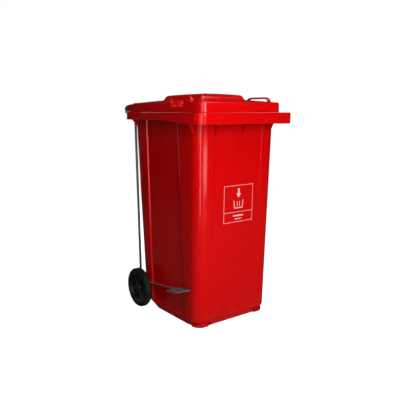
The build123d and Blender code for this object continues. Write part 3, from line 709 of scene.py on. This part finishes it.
gussets = []
for x in (-140.0, 18.0, 162.0):
    outline = corners([(front_line(890) + 5, 886), (front_line(890) + 1, 893), (RIM_FRONT + 25, 955),
                       (RIM_FRONT + 10, 989), (front_line(990) + 6, 989)], 2.5)
    gussets.append(plate(outline, x - RIB / 2, x + RIB / 2))
for side in (1, -1):
    for y, foot in ((-256.0, 894.0), (214.0, 916.0)):
        wall = half_width(foot) - 5
        outline = corners([(side * wall, foot), (side * (RIM_HALF - 2.5), 975), (side * (RIM_HALF - 2.5), 989),
                           (side * wall, 989)], 2.0)
        gussets.append(plate(outline, y - RIB / 2, y + RIB / 2, plane="xz"))
for x in (-120.0, 120.0):
    outline = corners([(back_line(900) - 3, 935), (RIM_BACK - 2.5, 965), (RIM_BACK - 2.5, 989),
                       (back_line(990) - 6, 989)], 2.5)
    gussets.append(plate(outline, x - RIB / 2, x + RIB / 2))
print("gussets:", len(gussets))

# %% Pull bars and hinge ears
BAR_Y, BAR_Z, BAR_R = 330.0, 968.0, 13.0
bar_profile = soften([(-197.9, 0.0), (-197.9, BAR_R - 0.2), (-57.1, BAR_R - 0.2), (-57.1, 0.0)], 2.0)
pull_bar = lathe(bar_profile, BAR_Y, BAR_Z, around=48)
ear_outline = np.vstack([[(RIM_BACK - 3.5, 930.0)], arc((BAR_Y, BAR_Z), BAR_R, -62, 15, 9),
                         arc((HINGE_Y, HINGE_Z), 17.0, -20, 160, 17), [(RIM_BACK - 3.5, 991.0)]])
ear = holed_plate(resampled(ear_outline, 72), (HINGE_Y, HINGE_Z), 7.1, -198.0, -180.0)
inner_ear = plate(np.vstack([[(RIM_BACK - 3.5, 938.0)], arc((BAR_Y, BAR_Z), BAR_R, -72, 88, 15),
                             [(RIM_BACK - 3.5, 988.0)]]), -75.0, -57.0)
handles = [pull_bar, ear, inner_ear]
for x0, x1 in ((-198.0, -180.0), (-75.0, -57.0)):
    outline = corners([(back_line(905) - 3, 903), (RIM_BACK - 1.5, 933), (RIM_BACK - 1.5, 988),
                       (back_line(988) - 3, 988)], 2.5)
    handles.append(plate(outline, x0, x1))
handles += [mirrored(s) for s in handles]

# %% Axle brackets and front feet
BOSS_R = 24.0
bracket_outline = np.vstack([[(STEP_Y - 2.5, 62.0)], arc((AXLE_Y, AXLE_Z), BOSS_R, -108, 12, 20),
                             [(back_line(150) - 7, LEDGE_Z + 1.5)], [(STEP_Y + 15.5, LEDGE_Z + 1.5)],
                             [(STEP_Y - 2.5, LEDGE_Z - LEDGE_DROP + 1.0)]])
brackets = [holed_plate(resampled(bracket_outline, 90), (AXLE_Y, AXLE_Z), 10.1, x0, x1)
            for x0, x1 in ((-216.0, -203.0), (-80.0, -70.0))]
brackets += [mirrored(s) for s in brackets]


FOOT_X, FOOT_Y, FOOT_CORNER = (139.0, 211.0), (-264.0, -203.0), 44.0


def foot_row(inset, z):
    """A block under the corner: the outer corner follows the tub's, the others are small."""
    (x0, x1), (y0, y1), small = FOOT_X, FOOT_Y, 14.0
    outline = np.vstack([arc((x0 + small, y0 + small), small, 180, 270, 6),
                         arc((x1 - FOOT_CORNER, y0 + FOOT_CORNER), FOOT_CORNER, -90, 0, 14),
                         arc((x1 - small, y1 - small), small, 0, 90, 6),
                         arc((x0 + small, y1 - small), small, 90, 180, 6)])
    return lay(drawn_in(outline, inset), z, "xy")


foot_rows = np.stack([foot_row(5.0, 0.0), foot_row(1.6, 0.6), foot_row(0.4, 2.0), foot_row(0.0, 4.5),
                      foot_row(0.0, 12.4), foot_row(0.6, 13.6), foot_row(2.4, 14.0)])
centre = [np.broadcast_to(r.mean(0), r.shape)[None] for r in (foot_rows[0], foot_rows[-1])]
foot = grid(np.concatenate([centre[0], foot_rows, centre[1]]))
feet = [foot, mirrored(foot)]

# %% Make the tub's pieces
make_piece("tub_moulding", [tub_wall], "tub", tub_red, ["bin_body"])
make_piece("rim_gussets", gussets, "tub", tub_red)
make_piece("pull_bars_and_hinge_ears", handles, "tub", tub_red)
make_piece("axle_brackets", brackets, "tub", tub_red)
make_piece("front_feet", feet, "tub", tub_red)

# %% [markdown]
# ## The lid
#
# The lid is a shallow tray turned over, with a raised crown and a finger hollow on each side that
# a grip arches over. Seen from above its height is a function of place: a gentle slope from the
# crown to the edge, the crown's stepped profile, a roll at the rim, and the hollows cut down into
# all of it. So the top is a height field on lines that crowd together where the shape turns, and
# the same function with a wall's thickness taken off gives the underside.

# %% Height of the lid at any place
LID_Z = 992.4
EDGE_Z, EDGE_TOP, EDGE_ROLL = 1029.0, 1038.5, 9.0
CROWN_HALF, CROWN_FRONT, CROWN_BACK, CROWN_Z = 152.0, -203.0, 140.0, 1049.0
CROWN_STEPS = soften([(0.0, 0.0), (14.0, 2.0), (24.0, 17.0), (30.0, 22.0), (41.0, 25.5), (102.0, 31.0)],
                     [0, 5, 5, 4, 6, 0], steps=7)
HOLLOW_FRONT, HOLLOW_BACK, HOLLOW_X, HOLLOW_Z = -241.0, -101.0, 175.0, 1019.0


def inside_distance(x, y, half, front, back, r_front, r_back):
    """Distance inward from a rounded rectangle: negative outside it."""
    middle, reach = (front + back) / 2, (back - front) / 2
    radius = np.where(y < middle, r_front, r_back)
    qx = np.abs(x) - half + radius
    qy = np.abs(y - middle) - reach + radius
    outside = np.hypot(np.maximum(qx, 0), np.maximum(qy, 0))
    return radius - outside - np.minimum(np.maximum(qx, qy), 0)


def lid_height(x, y, under):
    """Top of the lid at (x, y); `under` is 0 outside and the wall thickness on the underside."""
    edge = np.maximum(inside_distance(x, y, LID_HALF, LID_FRONT, LID_BACK, 40.0, 24.0) - under, 0)
    ratios = np.stack([(np.abs(x) - CROWN_HALF) / (LID_HALF - EDGE_ROLL - CROWN_HALF),
                       (CROWN_FRONT - y) / (CROWN_FRONT - LID_FRONT - EDGE_ROLL),
                       (y - CROWN_BACK) / (LID_BACK - EDGE_ROLL - CROWN_BACK)])
    slope = np.clip((np.clip(ratios, 0, None) ** 5).sum(0) ** 0.2, 0, 1)
    z = CROWN_Z - (CROWN_Z - EDGE_TOP) * slope
    roll = np.clip(1 - edge / EDGE_ROLL, 0, 1)
    z = z - (EDGE_TOP - EDGE_Z) * (1 - np.sqrt(np.maximum(1 - roll ** 2, 0)))
    crown = inside_distance(x, y, CROWN_HALF, CROWN_FRONT, CROWN_BACK, 38.0, 30.0) - under
    z = z + np.interp(crown, CROWN_STEPS[:, 0], CROWN_STEPS[:, 1])
    beside = inside_distance(np.abs(x) - 300, y, 300 - HOLLOW_X, HOLLOW_FRONT, HOLLOW_BACK, 9.0, 9.0)
    away = np.maximum(-beside - under, 0)
    hollow = HOLLOW_Z + np.interp(away, [0, 1.2, 3.0, 9.0, 20.0], [0, 1.0, 7.0, 46.0, 120.0])
    blend = 2.5
    gap = np.clip(0.5 + 0.5 * (hollow - z) / blend, 0, 1)
    return hollow * (1 - gap) + z * gap - blend * gap * (1 - gap) - under


# %% The lid's grid and its skirt
roll_lines = EDGE_ROLL * (1 - np.cos(np.radians(np.linspace(0, 90, 7))))
x_half = np.concatenate([stations([0.0, 112.0, 154.0, 165.0, 177.0, 229.0], [10, 22, 4, 14, 8]),
                         LID_HALF - 0.6 - roll_lines[::-1][:-1], [LID_HALF - 0.6]])
x_lines = np.concatenate([-x_half[:0:-1], x_half])
y_lines = np.concatenate([[LID_FRONT + 0.6], LID_FRONT + 0.6 + roll_lines[1:],
                          stations([-316.0, -252.0, -239.0, -204.0, -160.0, -103.0, -90.0, 96.0, 142.0, 249.0],
                                   [8, 14, 5, 20, 8, 14, 12, 20, 8]),
                          LID_BACK - 0.6 - roll_lines[::-1][:-1], [LID_BACK - 0.6]])


def rounded_plan(x, y, radii):
    """Bends the corners of a square grid to quarter circles; lines away from them stay straight.

    In a corner square, a point keeps its greater distance m from the square's inner corner and
    its direction: p = c + m (dx, dy) / |(dx, dy)|. radii are for (-x -y), (+x -y), (+x +y), (-x +y).
    """
    x, y = x.copy(), y.copy()
    ends = ((x.min(), y.min()), (x.max(), y.min()), (x.max(), y.max()), (x.min(), y.max()))
    for (ex, ey), radius in zip(ends, radii):
        sx, sy = (1 if ex > x.mean() else -1), (1 if ey > y.mean() else -1)
        cx, cy = ex - sx * radius, ey - sy * radius
        dx, dy = (x - cx) * sx, (y - cy) * sy
        inside = (dx > 0) & (dy > 0)
        length = np.hypot(dx, dy)
        scale = np.where(inside, np.maximum(dx, dy) / np.maximum(length, 1e-9), 1.0)
        x = np.where(inside, cx + sx * dx * scale, x)
        y = np.where(inside, cy + sy * dy * scale, y)
    return x, y


def lid_face(under):
    """The lid's top or underside as rows x columns x 3."""
    flat_x, flat_y = np.meshgrid(x_lines, y_lines)
    x, y = rounded_plan(flat_x, flat_y, (39.4, 39.4, 23.4, 23.4))
    middle = (LID_FRONT + LID_BACK) / 2
    x = x * (LID_HALF - under) / LID_HALF
    y = middle + (y - middle) * (1 - under / (LID_BACK - middle))
    return np.stack([x, y, lid_height(x, y, under)], -1)


def border(face):
    """The points round a grid's border, once, in order."""
    return np.concatenate([face[0, :-1], face[:-1, -1], face[-1, :0:-1], face[:0:-1, 0]])


top_face, under_face = lid_face(0.0), lid_face(WALL)
rim_out, rim_in = border(top_face), border(under_face)
foot_out, foot_in = rim_out * [1.0025, 1.0018, 0] + [0, 0, LID_Z], rim_in * [1, 1, 0] + [0, 0, LID_Z]
skirt = soften(np.stack([rim_out, foot_out, foot_in, rim_in]), [0, 1.8, 1.8, 0], steps=4)
lid_shells = [grid(top_face, wrap_columns=False), grid(under_face, wrap_columns=False), grid(skirt)]
joined_points = np.vstack([s[0] for s in lid_shells])
joined_starts = np.cumsum([0] + [len(s[0]) for s in lid_shells])
joined_faces = [[i + start for i in f] for s, start in zip(lid_shells, joined_starts) for f in s[1]]
lid_tray = (joined_points, joined_faces)
print("lid grid:", top_face.shape, "highest", top_face[..., 2].max().round(1))

# %% Grips over the hollows
GRIP_X, GRIP_HALF = 230.5, 8.5
grip_line = soften([(-249.0, 1026.0), (-247.0, 1046.0), (-236.0, 1058.5), (-216.0, 1060.5), (-126.0, 1060.5),
                    (-106.0, 1058.5), (-95.0, 1046.0), (-93.0, 1026.0)], 11.0, steps=7)
grip_half = np.interp(grip_line[:, 1], [1026.0, 1046.0, 1057.0, 1061.0], [10.0, 6.5, 4.6, 4.5])


def bar_along(line, x, half_wide, half_thick, count=20):
    """A bar of rounded section carried along a line of (y, z) points, closed at both ends.

    The section is a superellipse |u|^3 + |v|^3 = 1, u across and v along the line's normal.
    """
    run = np.gradient(line, axis=0)
    run /= np.linalg.norm(run, axis=1, keepdims=True)
    normal = np.column_stack([-run[:, 1], run[:, 0]])
    a = np.linspace(0, 2 * np.pi, count, endpoint=False)
    u = np.sign(np.cos(a)) * np.abs(np.cos(a)) ** (2 / 3)
    v = np.sign(np.sin(a)) * np.abs(np.sin(a)) ** (2 / 3)
    side = line[:, None, :] + normal[:, None, :] * (v[None, :, None] * half_thick[:, None, None])
    rows = np.concatenate([np.zeros(side.shape[:2] + (1,)) + x + (u * half_wide)[None, :, None], side], -1)
    ends = [np.broadcast_to(r.mean(0), r.shape)[None] for r in (rows[0], rows[-1])]
    return grid(np.concatenate([ends[0], rows, ends[1]]))


grip = bar_along(grip_line, GRIP_X, GRIP_HALF, grip_half)

# %% Hinge arms and the lift lug
LUG_R, LUG_FALL = 28.0, math.radians(30.0)
LUG_Y = HINGE_Y - LUG_R * math.cos(LUG_FALL)
LUG_Z = HINGE_Z - LUG_R * math.sin(LUG_FALL)
hinge_round = arc((HINGE_Y, HINGE_Z), 17.5, -60, 95, 16)
arm_foot = [(LID_BACK + 19, 1031.5), (LID_BACK - 24, 1034.0), (LID_BACK - 24, 995.0)]
lug_outline = np.vstack([arc((LUG_Y, LUG_Z), 13.0, -150, -55, 12), hinge_round, arm_foot])
lug_arm = holed_plate(resampled(lug_outline, 96), (LUG_Y, LUG_Z), 9.0, -LID_HALF, -LID_HALF + 14.0)
plain_arm = plate(np.vstack([[(LID_BACK + 8, 995.0)], hinge_round, arm_foot]), -LID_HALF, -LID_HALF + 14.0)
inner_arm = plate(np.vstack([[(LID_BACK - 5, 995.0)], arc((HINGE_Y, HINGE_Z), 16.0, -75, 95, 16),
                             [(LID_BACK - 5, 1033.0)]]), -178.5, -164.5)
arms = [lug_arm, mirrored(plain_arm), inner_arm, mirrored(inner_arm)]
make_piece("lid_moulding", [lid_tray], "lid", lid_red, ["lid"])
make_piece("lid_grips", [grip, mirrored(grip)], "lid", lid_red)
make_piece("lid_hinge_arms", arms, "lid", lid_red)

# %% [markdown]
# ## Turned pieces: tyres, hubs, caps and pins
#
# Anything made on a lathe or in a round mould is a profile turned about its axis. The tyre has a
# crowned tread with three grooves, the hub a web stiffened by six ribs.

# %% Tyres
TYRE_IN, TYRE_OUT, TYRE_R, SEAT_R = 250.0, 283.0, 100.0, 78.0
groove_centres = np.array([-273.5, -266.5, -259.5])
tread = np.array([(g + dx, TYRE_R - 0.1 - depth) for g in groove_centres
                  for dx, depth in ((-1.6, 0.0), (-1.0, 1.8), (1.0, 1.8), (1.6, 0.0))])
side_out = [(-TYRE_OUT + 1.2, SEAT_R), (-TYRE_OUT + 0.2, 80.0), (-TYRE_OUT + 1.4, 82.0), (-TYRE_OUT + 1.4, 87.0),
            (-TYRE_OUT, 89.0), (-TYRE_OUT, 92.0), (-TYRE_OUT + 2.2, 96.4), (-TYRE_OUT + 7.0, 99.3)]
side_in = [(-TYRE_IN - TYRE_OUT - x, r) for x, r in side_out[::-1]]
tyre = lathe(soften(np.vstack([side_out, tread, side_in]), 0.9, steps=3, closed=True),
             AXLE_Y, AXLE_Z, True, 120)

# %% Hubs
hub_profile = np.array([(-279.0, 10.1), (-279.0, 18.5), (-277.0, 22.0), (-267.0, 23.0), (-265.5, 26.0), (-265.5, 64.0),
                        (-268.0, 67.0), (-280.0, 68.0), (-282.0, 70.0), (-282.0, 77.9), (-251.0, 77.9),
                        (-251.0, 70.0), (-254.0, 68.0), (-259.0, 67.0), (-260.5, 64.0), (-260.5, 26.0),
                        (-259.0, 23.0), (-241.0, 22.0), (-239.3, 20.0), (-239.3, 10.1)])
hub_ring = lathe(soften(hub_profile, 1.4, steps=4, closed=True), AXLE_Y, AXLE_Z, True, 96)
rib_outline = corners([(-276.0, AXLE_Z + 20), (-276.0, AXLE_Z + 69),
                       (-255.0, AXLE_Z + 69), (-255.0, AXLE_Z + 20)], 2.0)
rib = plate(rib_outline, AXLE_Y - 2.5, AXLE_Y + 2.5, edge=0.9, plane="xz")
hub = [hub_ring] + [turned(rib, math.radians(60 * k + 30)) for k in range(6)]

# %% Axle caps and hinge pins
cap = lathe(soften([(-284.0, 0), (-284.0, 7.0), (-283.0, 13.0), (-281.2, 16.3), (-279.5, 17.2), (-279.5, 10.2),
                    (-280.9, 9.6), (-280.9, 0)], 1.0), AXLE_Y, AXLE_Z, around=64)
pin = lathe(soften([(-246.0, 0), (-245.2, 6.0), (-245.2, 8.0), (-246.0, 9.5), (-245.2, 12.2), (-242.6, 14.0),
                    (-240.1, 14.0), (-240.1, 7.0), (-159.6, 7.0), (-158.0, 5.4), (-158.0, 0)], 0.9),
            HINGE_Y, HINGE_Z, around=64)

for side, flip in (("left", list), ("right", lambda shells: [mirrored(s) for s in shells])):
    make_piece(f"tyre_tread_{side}", flip([tyre]), f"wheel_{side}", tyre_rubber,
               [f"tyre_{side}"])
    make_piece(f"ribbed_hub_{side}", flip(hub), f"wheel_{side}", hub_black,
               [f"wheel_hub_{side}"])
    make_piece(f"domed_cap_{side}", flip([cap]), "tub", fitting_black, [f"axle_cap_{side}"])
    make_piece(f"hinge_plug_{side}", flip([pin]), "lid", fitting_black, [f"hinge_pin_{side}"])

# %% [markdown]
# ## The pedal plate and its pivot block
#
# The plate is pressed from sheet, so each dimple is a smooth bump on top and a hollow beneath: one
# height function moves both faces. Where feet have rubbed, on the dimples and along the rim, an
# attribute called `trodden` marks the metal that shows through the coating.

# %% Pressed plate
PLATE_X, PLATE_Y = (-311.0, -235.0), (-252.0, -145.0)
ARM_Z = AXLE_Z + 17.0
PLATE_Z, PLATE_T = ARM_Z + 4.0, 3.0
DIMPLE_R, DIMPLE_H = 5.6, 1.8
dimples = [(x, y) for y in (-230.0, -203.0, -176.0) for x in (-292.0, -273.0, -254.0)] + [(-273.0, -156.0)]
plate_x, plate_y = np.meshgrid(np.linspace(*PLATE_X, 77), np.linspace(*PLATE_Y, 108))
plate_x, plate_y = rounded_plan(plate_x, plate_y, (26.0, 9.0, 9.0, 26.0))


def dimple_shape(x, y):
    """The sum of bumps (1 - (r/R)^2)^2 about each dimple's centre."""
    bumps = [np.clip(1 - ((x - cx) ** 2 + (y - cy) ** 2) / DIMPLE_R ** 2, 0, None) ** 1.5
             for cx, cy in dimples]
    return np.sum(bumps, 0)


pressed = DIMPLE_H * dimple_shape(plate_x, plate_y)
plate_top = np.stack([plate_x, plate_y, PLATE_Z + PLATE_T + pressed], -1)
plate_under = np.stack([plate_x, plate_y, PLATE_Z + 0.75 * pressed], -1)
outer_top, outer_low = border(plate_top), border(plate_under)
plate_rows = np.stack([outer_top, outer_low])
plate_shells = [grid(plate_top, wrap_columns=False), grid(plate_under, wrap_columns=False), grid(plate_rows)]
starts = np.cumsum([0] + [len(s[0]) for s in plate_shells])
plate_points = np.vstack([s[0] for s in plate_shells])
plate_faces = [[i + start for i in f] for s, start in zip(plate_shells, starts) for f in s[1]]
pedal = make_piece("pressed_pedal_plate", [turned((plate_points, plate_faces), -LEAN)], "pedal_lever",
                   plate_coat, ["pedal_plate"])

# %% Mark the trodden metal
count = len(pedal.data.vertices)
place = np.zeros(count * 3, np.float32)
pedal.data.vertices.foreach_get("co", place)
flat, _ = turned((place.reshape(-1, 3) / MM - DATUM, None), LEAN)
edge = np.zeros(count, np.float32)
pedal.data.attributes["edge"].data.foreach_get("value", edge)
on_top = flat[:, 2] > PLATE_Z + PLATE_T - 0.5
trodden = np.clip(dimple_shape(flat[:, 0], flat[:, 1]) * 1.3, 0, 1) * on_top + 0.25 * edge
worn_top = pedal.data.attributes.new("trodden", "FLOAT", "POINT")
worn_top.data.foreach_set("value", np.clip(trodden, 0, 1).astype(np.float32))
print("trodden share:", float(trodden.mean().round(3)))

# %% Pivot block with a waist for each band
BLOCK_X, BLOCK_HALF, BLOCK_LOW = -228.2, 10.0, AXLE_Z - 17.0
BAND_AT, BAND_HALF, BAND_DEPTH, BLOCK_END = 17.0, 4.0, 1.3, 27.0
along = np.array([-BLOCK_END, -BLOCK_END + 0.4, -BLOCK_END + 1.5, -24, -21.5, -BAND_AT - BAND_HALF, -20.9, -13.1,
                  -BAND_AT + BAND_HALF, -8, -3])
along = np.concatenate([along, [0.0], -along[::-1]])
waist = np.where(np.abs(np.abs(along) - BAND_AT) < BAND_HALF - 0.05, BAND_DEPTH, 0.0)
end_round = np.interp(np.abs(along), [0, 25.5, 26.6, 27.0], [0, 0, 0.5, 1.5])
corner_rise = 12.0 - np.sqrt(np.maximum(144.0 - np.maximum(np.abs(along) - BLOCK_END + 12.0, 0) ** 2, 0))
side = BLOCK_HALF - waist - end_round
low = BLOCK_LOW + corner_rise + waist * 3.6 + end_round
top = ARM_Z - waist * 0.2 - end_round
square = np.stack([np.stack([-side, low], -1), np.stack([side, low], -1), np.stack([side, top], -1),
                   np.stack([-side, top], -1)])
section = soften(square, 1.6, steps=5, closed=True)
block_rows = np.stack([BLOCK_X + section[..., 0], AXLE_Y + along + 0 * section[..., 0], section[..., 1]], -1)
block_rows = block_rows.transpose(1, 0, 2)
ends = [np.broadcast_to(r.mean(0), r.shape)[None] for r in (block_rows[0], block_rows[-1])]
block_rows = np.concatenate([ends[0], block_rows, ends[1]])
make_piece("moulded_pivot_block", [turned(grid(block_rows), -LEAN)], "pedal_lever", fitting_black,
           ["pivot_block"])

# %% [markdown]
# ## Rods, washers and other drawn parts
#
# The lift rod, the lever arm, the axle, the washers, the split pin and the bands already have
# their real shape in the frame, so they stay, and only take on their metal.

# %% Metal for the parts that stay
kept = {
    "wheel_axle": axle_steel, "axle_washer_left": axle_steel, "axle_spacer_right": hub_black,
    "pedal_arm": zinc_arm, "arm_band_front": bright_band, "arm_band_rear": bright_band,
    "lift_rod": zinc_rod, "rod_washer": axle_steel, "split_pin": zinc_rod, "front_pictogram": film_white,
}
for name, material in kept.items():
    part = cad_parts[name]
    part.data.materials.clear()
    part.data.materials.append(material)
print("kept parts:", sorted(kept))

# %% [markdown]
# ## Floor, light and camera
#
# A product picture: a pale floor that runs into a pale background. A large soft key light stands
# in front and a low one fills the skirt. Two weak lights on the pedal's side keep that wall deep
# red, one light hangs overhead, and a small lamp draws a thin light down the near corner. The last
# light stands behind the bin, so that its back can be read when the camera goes round.

# %% Floor and background
floor_mesh = bpy.data.meshes.new("floor")
reach = 12.0
floor_mesh.from_pydata([(-reach, -reach, 0), (reach, -reach, 0), (reach, reach, 0), (-reach, reach, 0)],
                       [], [(0, 1, 2, 3)])
floor = bpy.data.objects.new("floor", floor_mesh)
bpy.context.scene.collection.objects.link(floor)
floor_pale, tree, shader = new_material("pale floor", specular=0.0)
seen = node(tree, "ShaderNodeLightPath").outputs["Is Camera Ray"]
tree.links.new(tinted(tree, (0.16, 0.16, 0.16), (0.70, 0.70, 0.70), seen), shader.inputs["Base Color"])
shader.inputs["Roughness"].default_value = 0.9
shader.inputs["Emission Color"].default_value = (1.0, 1.0, 1.0, 1.0)
tree.links.new(maths(tree, "MULTIPLY", seen, 0.98), shader.inputs["Emission Strength"])
floor_mesh.materials.append(floor_pale)

world = bpy.data.worlds.new("studio")
bpy.context.scene.world = world
world.use_nodes = True
sky = world.node_tree.nodes["Background"]
sky.inputs["Color"].default_value = (1.0, 1.0, 1.0, 1.0)
seen = node(world.node_tree, "ShaderNodeLightPath").outputs["Is Camera Ray"]
world.node_tree.links.new(spread(world.node_tree, seen, 0.0, 1.0, 0.02, 1.0), sky.inputs["Strength"])


# %% Lights
def soft_light(name, place, aim, size, watts):
    """A rectangular studio light at a place, looking at a point."""
    data = bpy.data.lights.new(name, "AREA")
    data.shape = "RECTANGLE"
    data.size, data.size_y = size
    data.energy = watts
    lamp = bpy.data.objects.new(name, data)
    lamp.location = place
    lamp.rotation_euler = (Vector(aim) - Vector(place)).to_track_quat("-Z", "Y").to_euler()
    lamp.visible_camera = False
    bpy.context.scene.collection.objects.link(lamp)


soft_light("key", (-0.9, -3.3, 1.9), (0.0, 0.0, 0.5), (0.8, 1.6), 60.0)
soft_light("low_fill", (0.2, -2.6, 0.35), (0.0, 0.0, 0.4), (1.6, 0.4), 12.0)
soft_light("side_near", (-0.75, -0.95, 0.9), (-0.22, -0.1, 0.55), (0.15, 1.4), 3.8)
soft_light("side_far", (-1.9, -1.3, 1.3), (-0.2, 0.0, 0.6), (0.5, 1.4), 3.5)
soft_light("overhead", (0.6, -1.0, 3.4), (0.0, 0.0, 0.0), (2.0, 2.0), 36.0)
soft_light("corner_lamp", (-0.42, -2.7, 1.12), (-0.1, -0.2, 0.9), (0.16, 0.30), 5.0)
soft_light("back_fill", (-0.2, 3.2, 1.0), (0.0, 0.2, 0.5), (1.6, 1.6), 16.0)

# %% Camera and tone
camera = bpy.data.objects.new("camera", bpy.data.cameras.new("camera"))
bpy.context.scene.collection.objects.link(camera)
camera.location = (-1.5348, -2.0412, 0.9936)
camera.rotation_euler = (math.radians(90.0 - 9.73), 0.0, math.radians(-37.0))
camera.data.sensor_width = 36.0
camera.data.lens = 46.15
bpy.context.scene.camera = camera
bpy.context.scene.view_settings.view_transform = "Standard"
